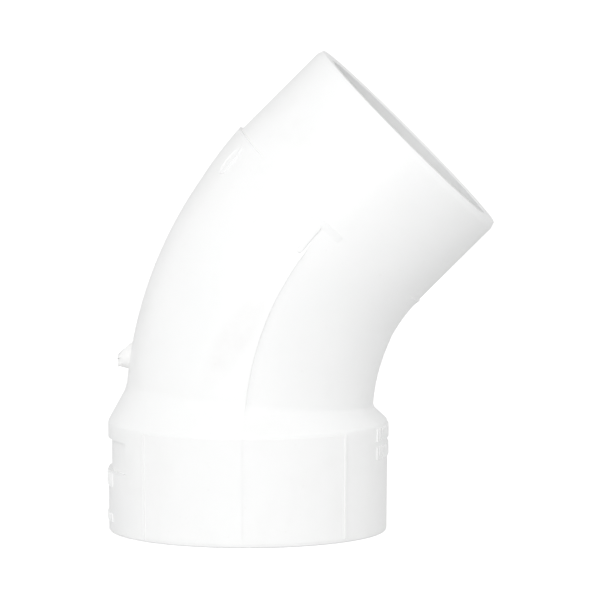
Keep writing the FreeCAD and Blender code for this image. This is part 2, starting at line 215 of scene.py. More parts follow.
def finish_piece(piece, material, slot, *nodes):
    """Smooths the shading, gives the material, parents the piece to the root body, and hides the CAD nodes
    it stands for.
    """
    clear_selection()
    piece.select_set(True)
    bpy.context.view_layer.objects.active = piece
    bpy.ops.object.shade_smooth_by_angle(angle=math.radians(32), keep_sharp_edges=True)
    piece.data.materials.clear()
    piece.data.materials.append(material)
    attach(piece, "root")
    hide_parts(*nodes)
    made.append(piece)
    print(f"{piece.name}: {len(piece.data.vertices)} vertices, stands for {len(nodes)} CAD nodes")


# %% [markdown]
# ## The finishes
# Both finishes are the same white plastic. The moulded skin is satin, with a very fine texture from
# the mould and faint clouds where the melt flowed. The broken gate is dull and grainy. What they
# share, the mould texture and the dust of handling, is a node group each.

# %% Small tools for nodes
def new_group(name, inputs, outputs):
    """Empty node group with number inputs and number outputs."""
    group = bpy.data.node_groups.new(name, "ShaderNodeTree")
    for label, value in inputs:
        socket = group.interface.new_socket(label, in_out="INPUT", socket_type="NodeSocketFloat")
        socket.default_value = value
    for label in outputs:
        group.interface.new_socket(label, in_out="OUTPUT", socket_type="NodeSocketFloat")
    return group, group.nodes.new("NodeGroupInput"), group.nodes.new("NodeGroupOutput")


def noise(tree, point, scale, detail=3.0, roughness=0.5):
    """Noise texture on a point socket; gives its Fac socket."""
    node = tree.nodes.new("ShaderNodeTexNoise")
    tree.links.new(point, node.inputs["Vector"])
    node.inputs["Scale"].default_value = scale
    node.inputs["Detail"].default_value = detail
    node.inputs["Roughness"].default_value = roughness
    return node.outputs["Fac"]


def remap(tree, value, low, high, to_low, to_high):
    """Maps one range to another; gives the result's socket."""
    node = tree.nodes.new("ShaderNodeMapRange")
    tree.links.new(value, node.inputs["Value"])
    node.inputs["From Min"].default_value = low
    node.inputs["From Max"].default_value = high
    node.inputs["To Min"].default_value = to_low
    node.inputs["To Max"].default_value = to_high
    return node.outputs["Result"]


def combine(tree, operation, first, second):
    """Math node on two sockets, or on a socket and a number."""
    node = tree.nodes.new("ShaderNodeMath")
    node.operation = operation
    for socket, value in zip(node.inputs, (first, second)):
        if isinstance(value, (int, float)):
            socket.default_value = value
        else:
            tree.links.new(value, socket)
    return node.outputs["Value"]


# %% Mould texture, shared
def make_mould_texture():
    """Fine spark-eroded grain with a few pits. Size is in grains per metre."""
    group, inside, outside = new_group("mould_texture", (("Size", 900.0), ("Pits", 0.3)), ("Height",))
    coords = group.nodes.new("ShaderNodeTexCoord")
    grain = group.nodes.new("ShaderNodeTexNoise")
    group.links.new(coords.outputs["Object"], grain.inputs["Vector"])
    group.links.new(inside.outputs["Size"], grain.inputs["Scale"])
    grain.inputs["Detail"].default_value = 4
    pits = group.nodes.new("ShaderNodeTexVoronoi")
    group.links.new(coords.outputs["Object"], pits.inputs["Vector"])
    pits.inputs["Scale"].default_value = 260
    pit_depth = remap(group, pits.outputs["Distance"], 0.0, 0.16, 1.0, 0.0)
    scaled_pits = combine(group, "MULTIPLY", pit_depth, inside.outputs["Pits"])
    height = combine(group, "SUBTRACT", grain.outputs["Fac"], scaled_pits)
    group.links.new(height, outside.inputs["Height"])
    return group


mould_texture = make_mould_texture()


# %% Dust of handling, shared
def make_handling_dust():
    """Mask of soft smudges and specks, from 0 to 1."""
    group, inside, outside = new_group("handling_dust", (("Amount", 0.5),), ("Mask",))
    coords = group.nodes.new("ShaderNodeTexCoord")
    smudge = remap(group, noise(group, coords.outputs["Object"], 38, 5, 0.6), 0.52, 0.78, 0, 1)
    speck = remap(group, noise(group, coords.outputs["Object"], 620, 2, 0.4), 0.70, 0.78, 0, 1)
    both = combine(group, "MAXIMUM", smudge, speck)
    group.links.new(combine(group, "MULTIPLY", both, inside.outputs["Amount"]), outside.inputs["Mask"])
    return group


handling_dust = make_handling_dust()


# %% Start a plastic
def start_plastic(name, roughness_low, roughness_high, grain_size, grain_depth, pits):
    """Material with the shared texture in its bump, and a noise in its roughness."""
    material = bpy.data.materials.new(name)
    material.use_nodes = True
    tree = material.node_tree
    shader = tree.nodes["Principled BSDF"]
    shader.inputs["IOR"].default_value = 1.53
    texture = tree.nodes.new("ShaderNodeGroup")
    texture.node_tree = mould_texture
    texture.inputs["Size"].default_value = grain_size
    texture.inputs["Pits"].default_value = pits
    bump = tree.nodes.new("ShaderNodeBump")
    bump.inputs["Strength"].default_value = 0.6
    bump.inputs["Distance"].default_value = grain_depth
    tree.links.new(texture.outputs["Height"], bump.inputs["Height"])
    tree.links.new(bump.outputs["Normal"], shader.inputs["Normal"])
    coords = tree.nodes.new("ShaderNodeTexCoord").outputs["Object"]
    rubbed = remap(tree, noise(tree, coords, 55, 4), 0.3, 0.7, roughness_low, roughness_high)
    tree.links.new(rubbed, shader.inputs["Roughness"])
    return material, tree, shader, coords


def colour_between(tree, factor, dark, light):
    """Mix of two colours by a mask; gives the node, so that its colours can be linked too."""
    node = tree.nodes.new("ShaderNodeMix")
    node.data_type = "RGBA"
    tree.links.new(factor, node.inputs["Factor"])
    node.inputs["A"].default_value = (*dark, 1)
    node.inputs["B"].default_value = (*light, 1)
    return node


def add_dust(tree, colour, amount, tint):
    """Lays the dust over a colour."""
    dust = tree.nodes.new("ShaderNodeGroup")
    dust.node_tree = handling_dust
    dust.inputs["Amount"].default_value = amount
    mix = colour_between(tree, dust.outputs["Mask"], (1, 1, 1), tint)
    tree.links.new(colour, mix.inputs["A"])
    return mix.outputs["Result"]


# %% [markdown]
# The moulded skin gets its clouds from a soft noise. One soft darker streak on the front is a painted
# reflection:
# it stands for the dark reflection where the front highlight ends, painted into the colour. The streak is a
# ball-shaped gradient, stretched and turned by a Mapping node, and broken up with noise so that it doesn't
# look drawn.

# %% Moulded white plastic
def painted_reflection_mask(tree, coords, middle, lean, size):
    """Painted reflection at one place, a soft darker streak: a spherical gradient, stretched to a size and
    leaned over.
    """
    place = tree.nodes.new("ShaderNodeMapping")
    place.vector_type = "TEXTURE"
    tree.links.new(coords, place.inputs["Vector"])
    place.inputs["Location"].default_value = middle
    place.inputs["Rotation"].default_value = (0, lean, 0)
    place.inputs["Scale"].default_value = size
    ball = tree.nodes.new("ShaderNodeTexGradient")
    ball.gradient_type = "SPHERICAL"
    tree.links.new(place.outputs["Vector"], ball.inputs["Vector"])
    ragged = remap(tree, noise(tree, coords, 150, 4, 0.65), 0.3, 0.6, 0.45, 1)
    return combine(tree, "MULTIPLY", remap(tree, ball.outputs["Fac"], 0, 0.5, 0, 1), ragged)


def make_moulded():
    material, tree, shader, coords = start_plastic("moulded_white", 0.32, 0.46, 950, 0.03 * mm, 0.25)
    clouds = remap(tree, noise(tree, coords, 16, 5, 0.6), 0.35, 0.65, 0, 1)
    base = colour_between(tree, clouds, (0.915, 0.92, 0.918), (0.94, 0.943, 0.94))
    reflection_amount = painted_reflection_mask(tree, coords, (-1.5 * mm, -pipe_radius, 76.5 * mm), math.radians(32),
                         (7.5 * mm, 17 * mm, 26 * mm))
    # Painted reflection: along the streak the colour goes grey, standing in for a dark reflection where the
    # front highlight ends.
    with_painted_reflection = colour_between(tree, reflection_amount, (1, 1, 1), (0.885, 0.885, 0.883))
    tree.links.new(base.outputs["Result"], with_painted_reflection.inputs["A"])
    dusty = add_dust(tree, with_painted_reflection.outputs["Result"], 0.35, (0.86, 0.86, 0.85))
    tree.links.new(dusty, shader.inputs["Base Color"])
    return material


moulded_white = make_moulded()


# %% Broken white plastic
def make_broken():
    material, tree, shader, coords = start_plastic("broken_white", 0.62, 0.85, 420, 0.25 * mm, 0.8)
    torn = remap(tree, noise(tree, coords, 300, 6, 0.7), 0.35, 0.65, 0, 1)
    base = colour_between(tree, torn, (0.90, 0.90, 0.895), (0.96, 0.96, 0.955))
    dusty = add_dust(tree, base.outputs["Result"], 0.4, (0.85, 0.85, 0.84))
    tree.links.new(dusty, shader.inputs["Base Color"])
    return material


broken_white = make_broken()
print("materials:", moulded_white.name, broken_white.name)

# %% [markdown]
# ## The moulding
# Hub, shoulder, bend and spigot are one skin with no gaps. It could be a spun profile, but a ring
# that grows by extruding and scaling keeps even columns all round, which the recess, the parting
# crease and the stops need. The ring goes up the outside, over the tip, and back down the inside.

# %% Grow the skin ring by ring
columns = 192


def grow(rings, start):
    """Extrudes the selected ring to each (radius, height) in turn."""
    radius, height = start
    for next_radius, next_height in rings:
        bpy.ops.mesh.extrude_edges_move(TRANSFORM_OT_translate={"value": (0, 0, next_height - height)})
        ratio = next_radius / radius
        bpy.ops.transform.resize(value=(ratio, ratio, 1), center_override=(0, 0, next_height))
        radius, height = next_radius, next_height


def steps(low, high, count):
    """Even heights after the low one, up to the high one."""
    return [low + (high - low) * k / count for k in range(1, count + 1)]


recess_foot = 22.8 * mm
recess_top = 34.2 * mm
hub_heights = [2 * mm, 8 * mm, 15 * mm, recess_foot, 28.5 * mm, recess_top, 37 * mm, edge_height]
outside = [(hub_radius_at(height), height) for height in hub_heights]
outside += [(pipe_radius, shoulder_top)]
outside += [(pipe_radius, height) for height in steps(shoulder_top, stop_height - 0.1 * mm, 36)]
outside += [(pipe_radius, height) for height in (stop_height, spigot_foot)]
outside += [(pipe_radius, height) for height in steps(spigot_foot, tip_height - tip_bevel_run, 5)]
tip = [(pipe_radius - tip_bevel_depth, tip_height), (flow_radius + bore_bevel, tip_height)]
inside = [(flow_radius, tip_height - bore_bevel), (flow_radius, spigot_foot)]
inside += [(flow_radius, height) for height in steps(spigot_foot, bend_foot, 30)]
inside += [(flow_radius, seat_height), (socket_radius, seat_height)]
inside += [(socket_radius, 20 * mm), (socket_radius, socket_lead), (socket_radius + socket_lead, 0)]

clear_selection()
bpy.ops.mesh.primitive_circle_add(vertices=columns, radius=rim_radius)
moulding = start_piece("moulding")
edit(moulding, "EDGE")
bpy.ops.mesh.select_all(action="SELECT")
grow(outside + tip + inside + [(rim_radius, 0)], (rim_radius, 0))
close_mesh(moulding)
print("rings:", len(outside + tip + inside), "vertices:", len(moulding.data.vertices))

# %% [markdown]
# A long recess lies across the hub's outer side, above the rows of marks. Its faces are
# extruded and pushed in along their normals, which is what Alt+E with Shrink/Fatten does by hand.

# %% The recess
recess_half = 31
recess_depth = 1.3 * mm


def in_recess(face):
    middle = face.calc_center_median()
    radius, angle = around(middle)
    return (radius > socket_radius + 1 * mm and 180 - abs(angle) < recess_half
            and recess_foot < middle.z < recess_top)


edit(moulding, "FACE")
count = pick(moulding, "faces", in_recess)
bpy.ops.mesh.extrude_region_shrink_fatten(TRANSFORM_OT_shrink_fatten={"value": -recess_depth})
clear_selection()
print("recess faces:", count)

# %% [markdown]
# ## Low swellings
# The two halves of the mould don't meet perfectly, so a faint crease runs up each side of the bend.
# The plastic stands up by about a millimetre along it, and its inner half lies a little lower. The
# inner corner over the shoulder is filled out, and behind the spigot two low steps stop the next
# fitting. A sculpting brush would raise them by hand. Here each vertex moves along its own radius by
# a small formula, which does the same and is exact.

# %% How far each place stands up
crease_rise = 1.0 * mm
mould_step = 0.6 * mm
crease_outer_span = 13
crease_inner_span = 36
ledge_half = 46.5
ledge_rise = 1 * mm
ledge_run = 17 * mm
inner_stop_half = 25
inner_stop_rise = 0.45 * mm
inner_stop_run = 5 * mm
throat_half = 70
throat_rise = 0.9 * mm


def lowness(height):
    """1 at the shoulder's top and below, down to 0 at 38 mm above it."""
    return min(1, max(0, 1 - (height - shoulder_top) / (38 * mm)))


def crease(angle, height):
    """Ridge along both sides, wider on the inner half. It fades in on the shoulder and out at the stop.

    The inner half sits a little lower than the outer one, most of all near the shoulder."""
    off = abs(angle) - 90
    if off < -0.1:
        top = crease_rise - mould_step * (0.25 + 0.75 * lowness(height))
        side = max(0, 1 + off / crease_inner_span) ** 2
    else:
        top = crease_rise
        side = max(0, 1 - off / crease_outer_span) ** 2
    fade_in = min(1, max(0, (height - edge_height) / (3.5 * mm)))
    fade_out = min(1, max(0, (stop_height - 4 * mm - height) / (14 * mm)))
    return top * side * fade_in * fade_out


def narrow_step(vert, angle):
    """Moves the column next to the crease up to it, so that the mould's step narrows up the bend."""
    first = 90 - 360 / columns
    if abs(abs(angle) - first) < 0.1 and edge_height + 1 * mm < vert.co.z < stop_height - 8 * mm:
        radius = around(vert.co)[0]
        place = math.radians(89.3 - 1.0 * lowness(vert.co.z))
        vert.co.x = radius * math.cos(place)
        vert.co.y = math.copysign(radius * math.sin(place), vert.co.y)


def throat_fill(angle, height):
    """The inner corner over the shoulder is filled out a little, so that water turns smoothly there."""
    place = (height - shoulder_top) / (45 * mm)
    if abs(angle) > throat_half or place > 1:
        return 0
    return throat_rise * math.cos(math.radians(angle * 90 / throat_half)) ** 2 * (1 - max(0, place)) ** 0.5


def step_back(height, run):
    """1 at the stop's face, falling to 0 over its run behind it."""
    if height > stop_height - 0.05 * mm:
        return 0
    return max(0, 1 - (stop_height - 0.1 * mm - height) / run)


def outer_ledge(angle, height):
    lift = math.cos(math.radians(180 - abs(angle))) - math.cos(math.radians(ledge_half))
    full = 1 - math.cos(math.radians(ledge_half))
    return ledge_rise * max(0, lift / full) * step_back(height, ledge_run)


def inner_step(angle, height):
    end = min(1, max(0, (inner_stop_half - abs(angle)) / 3))
    return inner_stop_rise * end * step_back(height, inner_stop_run)


# %% Raise them
moved = 0
for vert in moulding.data.vertices:
    radius, angle = around(vert.co)
    if vert.co.z > edge_height + 0.5 * mm and radius > flow_radius + 3 * mm:
        narrow_step(vert, angle)
        rise = (crease(angle, vert.co.z) + outer_ledge(angle, vert.co.z) + inner_step(angle, vert.co.z)
                + throat_fill(angle, vert.co.z))
        if rise > 0:
            vert.co.x *= 1 + rise / radius
            vert.co.y *= 1 + rise / radius
            moved += 1
print("vertices raised:", moved)

# %% [markdown]
# ## Edges
# A mould leaves no knife edges, so each ring that turns a corner gets a bevel: a big one on the
# shoulder, a hollow one where the cone runs into the bend, and small ones at the rim and the tip.
# The crease itself stays sharp, so its edges are marked.

# %% Bevel the corners
bevels = (
    ("rim", rim_radius, 0, 0.7 * mm, 4),
    ("shoulder", hub_radius, edge_height, 0.7 * mm, 4),
    ("seat's inner edge", flow_radius, seat_height, 0.4 * mm, 3),
    ("tip's outer edge", pipe_radius - tip_bevel_depth, tip_height, 0.25 * mm, 3),
    ("tip's inner edge", flow_radius + bore_bevel, tip_height, 0.15 * mm, 2),
    ("bevel's foot", pipe_radius, tip_height - tip_bevel_run, 0.4 * mm, 3),
    ("socket's mouth", socket_radius + socket_lead, 0, 0.2 * mm, 2),
)
for label, radius, height, size, segments in bevels:
    edit(moulding, "EDGE")
    count = pick(moulding, "edges", on_ring(radius, height))
    bpy.ops.mesh.bevel(offset=size, segments=segments, affect="EDGES")
    print(f"{label}: {count} edges bevelled by {size / mm:.2f} mm")


# %% The hollow corner above the shoulder
def on_cone_top(edge):
    """The ring has swollen at the crease, so its test has more slack than the others."""
    return on_ring(pipe_radius, shoulder_top, 1.2 * mm)(edge) and abs(
        edge.verts[0].co.z - edge.verts[1].co.z) < 0.01 * mm


edit(moulding, "EDGE")
count = pick(moulding, "edges", on_cone_top)
bpy.ops.mesh.bevel(offset=2 * mm, segments=5, affect="EDGES")
print("cone's top:", count, "edges bevelled")


# %% Keep the crease sharp
def on_crease(edge):
    """The upright edges along the two parting lines, from the shoulder to the side stops."""
    places = [around(vert.co) for vert in edge.verts]
    upright = abs(edge.verts[0].co.z - edge.verts[1].co.z) > 0.1 * mm
    outer = all(radius > flow_radius + 3 * mm and abs(abs(angle) - 90) < 0.1 for radius, angle in places)
    inside_span = all(edge_height + 1 * mm < vert.co.z < stop_height - 8 * mm for vert in edge.verts)
    return upright and outer and inside_span


edit(moulding, "EDGE")
count = pick(moulding, "edges", on_crease)
bpy.ops.mesh.mark_sharp()
clear_selection()
bend_piece(moulding)
finish_piece(moulding, moulded_white, "pvc_white",
             "hub_socket", "shoulder", "bend", "spigot", "outer_stop", "inner_stop")
print("crease edges marked:", count)

# %% [markdown]
# ## Hub panels
# The mould's side slides leave a slightly raised panel on the front and on the back of the hub, with
# a low lip along each upright edge. Down the middle, where the halves meet, are a thin groove and a
# bead beside it. A panel
# is one flat outline of its cross-section, spun round the axis. A circle with four points, each moved
# to its own corner, is a quick way to get such an outline.

# %% Outline of a cross-section
def outline(name, corners, direction):
    """Flat face in the upright plane of a direction, through (radius, height) corners."""
    clear_selection()
    bpy.ops.mesh.primitive_circle_add(vertices=len(corners), radius=1 * mm, fill_type="NGON")
    piece = start_piece(name)
    across = Vector((math.cos(math.radians(direction)), math.sin(math.radians(direction)), 0))
    for vert, (radius, height) in zip(piece.data.vertices, corners):
        vert.co = across * radius + Vector((0, 0, height))
    return piece


def spin_outline(name, corners, middle, span, count):
    """Spins an outline round the axis, half of the span to each side of the middle."""
    piece = outline(name, corners, middle - span / 2)
    edit(piece, "FACE")
    bpy.ops.mesh.select_all(action="SELECT")
    bpy.ops.mesh.spin(steps=count, angle=-math.radians(span), center=(0, 0, 0), axis=(0, 0, 1))
    clear_selection()
    close_mesh(piece)
    return piece


# %% Shape one panel
panel_span = 91.4
panel_foot = 1.3 * mm
panel_top = edge_height - 1 * mm
panel_rise = 0.24 * mm
panel_steps = 76
lip_rise = 0.34 * mm
groove_width = 0.3 * mm
groove_depth = 0.25 * mm
bead_rise = 0.1 * mm


def angle_from(point, middle):
    """Degrees from a direction, from -180 to 180."""
    return (around(point)[1] - middle + 180) % 360 - 180


def outer_wall(face):
    """Faces that look away from the axis."""
    middle = face.calc_center_median()
    return face.normal.dot(Vector((middle.x, middle.y, 0)).normalized()) > 0.9


def make_panel(name, middle, node):
    sunk = 0.4 * mm
    panel = spin_outline(name, (
        (hub_radius_at(panel_foot) - sunk, panel_foot),
        (hub_radius_at(panel_foot) + panel_rise, panel_foot),
        (hub_radius_at(panel_top) + panel_rise, panel_top),
        (hub_radius_at(panel_top) - sunk, panel_top),
    ), middle, panel_span, panel_steps)
    edit(panel, "EDGE")
    pick(panel, "edges", lambda edge: is_corner(edge, middle))
    bpy.ops.mesh.bevel(offset=1.5 * mm, segments=5, affect="EDGES")
    edit(panel, "FACE")
    lip = pick(panel, "faces", lambda face: outer_wall(face) and on_lip(face, middle))
    bpy.ops.mesh.extrude_region_shrink_fatten(TRANSFORM_OT_shrink_fatten={"value": lip_rise})
    edit(panel, "EDGE")
    pick(panel, "edges", lambda edge: on_lip_top(edge, middle))
    bpy.ops.mesh.bevel(offset=0.14 * mm, segments=3, affect="EDGES")
    edit(panel, "EDGE")
    pick(panel, "edges", lambda edge: on_middle(edge, middle))
    bpy.ops.mesh.bevel(offset=groove_width, segments=1, affect="EDGES")
    edit(panel, "FACE")
    groove = pick(panel, "faces", lambda face: outer_wall(face) and in_groove(face, middle))
    bpy.ops.mesh.extrude_region_shrink_fatten(TRANSFORM_OT_shrink_fatten={"value": -groove_depth})
    edit(panel, "FACE")
    pick(panel, "faces", lambda face: outer_wall(face) and on_bead(face, middle))
    bpy.ops.mesh.extrude_region_shrink_fatten(TRANSFORM_OT_shrink_fatten={"value": bead_rise})
    clear_selection()
    print(f"{name}: {lip} lip faces, {groove} groove faces")
    finish_piece(panel, moulded_white, "pvc_white", node)


# %% Tests for the panel's places
def is_corner(edge, middle):
    """The two short level edges at the panel's lower corners."""
    ends = all(abs(abs(angle_from(vert.co, middle)) - panel_span / 2) < 0.1 for vert in edge.verts)
    return ends and all(abs(vert.co.z - panel_foot) < 0.01 * mm for vert in edge.verts)


def on_lip(face, middle):
    """The last column at each end."""
    first_turn = panel_span / 2 - panel_span / panel_steps * 1.01
    return abs(angle_from(face.calc_center_median(), middle)) > first_turn


def on_lip_top(edge, middle):
    """The upright edges of the two lips, where they stand out furthest."""
    out = all(around(vert.co)[0] > hub_radius_at(vert.co.z) + panel_rise + 0.15 * mm for vert in edge.verts)
    return out and abs(edge.verts[0].co.z - edge.verts[1].co.z) > 1 * mm


def on_bead(face, middle):
    """The column beside the groove, on the inner side, and raised by no lip."""
    spread = panel_span / panel_steps
    turned = angle_from(face.calc_center_median(), middle)
    inner = turned if middle < 0 else -turned
    return 0.3 < inner < spread and around(face.calc_center_median())[0] > hub_radius_at(panel_foot)


def on_middle(edge, middle):
    """The upright edges on the outer wall, straight in the middle."""
    raised = all(around(vert.co)[0] > hub_radius_at(vert.co.z) + 0.2 * mm for vert in edge.verts)
    return raised and all(abs(angle_from(vert.co, middle)) < 0.02 for vert in edge.verts)


def in_groove(face, middle):
    return abs(angle_from(face.calc_center_median(), middle)) < 0.1


# %% Both panels
make_panel("hub_panel_front_skin", -90, "hub_panel_front")
make_panel("hub_panel_back_skin", 90, "hub_panel_back")

# %% [markdown]
# ## Seam
# A hair-thin line of flash stands on the parting crease. It is a thin rod of eight sides, cut into
# short lengths, and sunk more where the crease is lower. It is made straight and bent after.

# %% Flash along the crease
seam_radius = 0.24 * mm
seam_sink = 0.06 * mm
seam_shift = 0.25 * mm


def make_seam(name, side, node):
    """A thin upright rod on the front (side -1) or the back (side 1)."""
    foot = shoulder_top - 1 * mm
    top = stop_height - 12 * mm
    middle = (seam_shift, side * (pipe_radius + crease_rise), (foot + top) / 2)
    clear_selection()
    bpy.ops.mesh.primitive_cylinder_add(vertices=8, radius=seam_radius, depth=top - foot, location=middle)
    bpy.ops.object.transform_apply(location=True)
    seam = start_piece(name)
    edit(seam, "EDGE")
    pick(seam, "edges", lambda edge: abs(edge.verts[0].co.z - edge.verts[1].co.z) > 1 * mm)
    bpy.ops.mesh.subdivide(number_cuts=40)
    clear_selection()
    for vert in seam.data.vertices:
        drop = crease_rise - crease(90, vert.co.z)
        vert.co.y -= side * (drop + seam_sink)
    bend_piece(seam)
    finish_piece(seam, moulded_white, "pvc_white", node)


make_seam("seam_front_flash", -1, "seam_front")
make_seam("seam_back_flash", 1, "seam_back")

# %% [markdown]
# ## Side stops
# On each side the stop is a short arc across the tube, square towards the spigot and sloping away
# behind, with a round-ended rib that runs back beside the seam. The arc is a spun wedge and the rib a
# stretched, bevelled block. They are joined and bent as one piece.

# %% The stop's rib
rib_length = 12 * mm
rib_width = 2.1 * mm
rib_top = stop_height - 2.4 * mm
rib_shift = 1.7 * mm
rib_sides = 2 * mm


def make_rib(side):
    clear_selection()
    bpy.ops.mesh.primitive_cube_add(size=1, location=(-rib_shift, side * (pipe_radius - 0.1 * mm),
                                                      rib_top - rib_length / 2))
    bpy.ops.transform.resize(value=(rib_width, rib_sides, rib_length))
    bpy.ops.object.transform_apply(location=True, scale=True)
    rib = start_piece("rib")
    edit(rib, "EDGE")
    pick(rib, "edges", is_rib_end)
    bpy.ops.mesh.bevel(offset=1 * mm, segments=6, affect="EDGES")
    edit(rib, "EDGE")
    pick(rib, "edges", lambda edge: all(abs(vert.co.y) > pipe_radius + 0.8 * mm for vert in edge.verts))
    bpy.ops.mesh.bevel(offset=0.45 * mm, segments=4, affect="EDGES")
    edit(rib, "EDGE")
    pick(rib, "edges", lambda edge: abs(edge.verts[0].co.z - edge.verts[1].co.z) > 5 * mm)
    bpy.ops.mesh.subdivide(number_cuts=6)
    clear_selection()
    return rib


def is_rib_end(edge):
    """The four edges along Y at the rib's ends."""
    return abs(edge.verts[0].co.y - edge.verts[1].co.y) > 1 * mm


# %% The stop's arc, and the two joined
side_stop_middle = 93
side_stop_span = 24
side_stop_rise = 0.45 * mm
side_stop_run = 4 * mm


def make_side_stop(name, side, node):
    arc = spin_outline(name, (
        (pipe_radius - 0.6 * mm, stop_height),
        (pipe_radius + side_stop_rise, stop_height),
        (pipe_radius - 0.2 * mm, stop_height - side_stop_run),
        (pipe_radius - 0.6 * mm, stop_height - side_stop_run),
    ), side * side_stop_middle, side_stop_span, 20)
    rib = make_rib(side)
    clear_selection()
    arc.select_set(True)
    rib.select_set(True)
    bpy.context.view_layer.objects.active = arc
    bpy.ops.object.join()
    bend_piece(arc)
    finish_piece(arc, moulded_white, "pvc_white", node)


make_side_stop("side_stop_front_mould", -1, "side_stop_front")
make_side_stop("side_stop_back_mould", 1, "side_stop_back")

# %% [markdown]
# ## Ejector bosses
# Two oval pads behind the outer stop show where pins pushed the moulding out. Each is a disc that is
# stretched to an oval, turned to face out of the tube, dished with an inset, and rounded at its rim.

# %% One boss, made twice
boss_direction = 180 - 26.5
boss_height = stop_height - 6.9 * mm
boss_length = 9
boss_width = 4.2
boss_dish = 0.4 * mm


def make_boss(name, side, node):
    direction = math.radians(boss_direction * side)
    reach = pipe_radius + 0.3 * mm
    clear_selection()
    bpy.ops.mesh.primitive_cylinder_add(vertices=40, radius=boss_width / 2 * mm, depth=1.9 * mm,
                                        rotation=(0, math.radians(90), 0))
    boss = start_piece(name)
    bpy.ops.object.transform_apply(rotation=True)
    edit(boss, "FACE")
    pick(boss, "faces", lambda face: face.normal.x > 0.9)
    bpy.ops.mesh.inset(thickness=0.5 * mm)
    bpy.ops.transform.translate(value=(-boss_dish, 0, 0))
    edit(boss, "EDGE")
    pick(boss, "edges", lambda edge: all(vert.co.x > 0.9 * mm for vert in edge.verts))
    bpy.ops.mesh.bevel(offset=0.2 * mm, segments=3, affect="EDGES")
    edit(boss)
    bpy.ops.mesh.select_all(action="SELECT")
    bpy.ops.transform.resize(value=(1, 1, boss_length / boss_width), center_override=(0, 0, 0))
    clear_selection()
    boss.select_set(True)
    boss.rotation_euler = (0, 0, direction)
    boss.location = (math.cos(direction) * reach, math.sin(direction) * reach, boss_height)
    bpy.ops.object.transform_apply(location=True, rotation=True)
    bend_piece(boss)
    finish_piece(boss, moulded_white, "pvc_white", node)


make_boss("boss_front_pad", -1, "outer_boss_front")
make_boss("boss_back_pad", 1, "outer_boss_back")

# %% [markdown]
# ## Gate stub
# The melt came in through a gate on the outer side, and the sprue was snapped off. What is left is a
# short cone with a torn end. The cone is leaned down a little, its end is cut into small faces, and
# those are pushed about at random with a fixed seed, so that it breaks the same way every time.

# %% The stub
gate_box_low, gate_box_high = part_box("gate_stub")
gate_height = (gate_box_low.z + gate_box_high.z) / 2
gate_root = gate_box_high.x + 1.2 * mm
gate_reach = gate_root - gate_box_low.x - 0.15 * mm
gate_lean = 1.6 * mm

clear_selection()
bpy.ops.mesh.primitive_cone_add(vertices=28, radius1=6.0 * mm, radius2=2.1 * mm, depth=gate_reach,
                                location=(gate_root - gate_reach / 2, 0, gate_height),
                                rotation=(0, math.radians(-90), 0))
stub = start_piece("gate_stub_break")
bpy.ops.object.transform_apply(location=True, rotation=True)
edit(stub, "EDGE")
pick(stub, "edges", lambda edge: abs(edge.verts[0].co.x - edge.verts[1].co.x) > 1 * mm)
bpy.ops.mesh.subdivide(number_cuts=4)
edit(stub, "FACE")
pick(stub, "faces", lambda face: face.normal.x < -0.95)
bpy.ops.mesh.inset(thickness=0.5 * mm)
bpy.ops.mesh.inset(thickness=0.6 * mm)
bpy.ops.mesh.poke()
edit(stub, "VERT")
count = pick(stub, "verts", lambda vert: vert.co.x < gate_box_low.x + 1.0 * mm)
bpy.ops.transform.vertex_random(offset=0.5 * mm, uniform=0.3, normal=0.2, seed=7)
edit(stub, "VERT")
pick(stub, "verts", lambda vert: vert.co.x < gate_box_low.x + 3.2 * mm)
bpy.ops.transform.vertex_random(offset=0.18 * mm, uniform=0.6, normal=0.3, seed=3)
clear_selection()
for vert in stub.data.vertices:
    out = max(0, (gate_root - vert.co.x) / gate_reach)
    vert.co.z -= gate_lean * out * out
    vert.co.x = max(vert.co.x, gate_box_low.x + 0.05 * mm)
close_mesh(stub)
finish_piece(stub, broken_white, "pvc_rough", "gate_stub")
print("torn end:", count, "vertices pushed about")

# %% [markdown]
# ## Mark rows
# Real fittings carry raised wording in rows on the hub and low on the bend. This one has plain
# upright bars in its place, in the same rows and at the same height. One bar is modelled and bevelled,
# and the others are copies turned round the axis, joined to one piece a row.

# %% One bar and its copies
mark_rise = 0.45 * mm
mark_root = 0.5 * mm
narrow_bar = 0.9 * mm
wide_bar = 1.35 * mm


def make_bar(name, radius, foot, height, width):
    """Small block that stands on the skin, towards +X, with its outer edges rounded."""
    clear_selection()
    place = (radius + (mark_rise - mark_root) / 2, 0, foot + height / 2)
    bpy.ops.mesh.primitive_cube_add(size=1, location=place)
    bpy.ops.transform.resize(value=(mark_rise + mark_root, width, height))
    bpy.ops.object.transform_apply(location=True, scale=True)
    bar = start_piece(name)
    edit(bar, "EDGE")
    pick(bar, "edges", lambda edge: all(vert.co.x > radius for vert in edge.verts))
    bpy.ops.mesh.bevel(offset=0.16 * mm, segments=2, affect="EDGES")
    clear_selection()
    return bar


def make_row(name, node, radius, middle, span, foot, height, count):
    """Bars from end to end of the row, each third one half as wide again."""
    bars = []
    for k in range(count):
        width = wide_bar if k % 3 == 1 else narrow_bar
        bar = make_bar(f"{name}_{k}", radius, foot, height, width)
        direction = middle - span / 2 + span * (k + 0.5) / count
        bar.rotation_euler = (0, 0, math.radians(direction))
        bar.select_set(True)
        bpy.context.view_layer.objects.active = bar
        bpy.ops.object.transform_apply(rotation=True)
        bars.append(bar)
    clear_selection()
    for bar in bars:
        bar.select_set(True)
    bpy.context.view_layer.objects.active = bars[0]
    bpy.ops.object.join()
    row = bars[0]
    row.name = name
    if foot > bend_foot:
        bend_piece(row)
    finish_piece(row, moulded_white, "pvc_white", node)


# %% All five rows
def skin_of(foot, height):
    return hub_radius_at(foot + height / 2)


